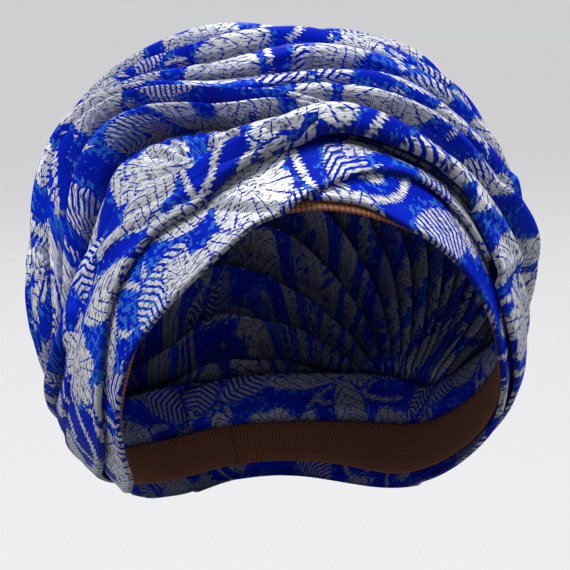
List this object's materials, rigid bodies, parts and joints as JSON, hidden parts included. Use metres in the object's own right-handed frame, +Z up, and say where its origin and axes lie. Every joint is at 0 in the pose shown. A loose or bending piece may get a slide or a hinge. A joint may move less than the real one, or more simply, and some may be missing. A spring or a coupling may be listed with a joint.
{
  "type": "tied gele head tie",
  "caption": "Head wrap of metallic brocade wound round the head, with a pleated crown, a puffed front wrap and a narrow rolled outer wrap over a knitted cap band.",
  "frame": {"origin": "middle of the head at brow level, where the head tie sits on a head", "axes": "-Y is the way the face looks, +X is the wearer's left, +Z is up"},
  "size_m": [0.1752, 0.1903, 0.1914],
  "materials": {
    "lining_knit": "brown rib knit, matt",
    "brocade_band": "royal blue brocade with silver metallic flowers, soft sheen",
    "brocade_crown": "royal blue and silver brocade with metallic leaves and stems, soft sheen",
    "brocade_wrap": "royal blue and silver brocade with metallic flowers, soft sheen"
  },
  "bodies": {
    "root": {"lining_band": "lining_knit", "band_under": "brocade_band", "band_over": "brocade_band", "crown": "brocade_crown", "wrap_puff": "brocade_wrap", "wrap_fold": "brocade_wrap"}
  },
  "joints": []
}
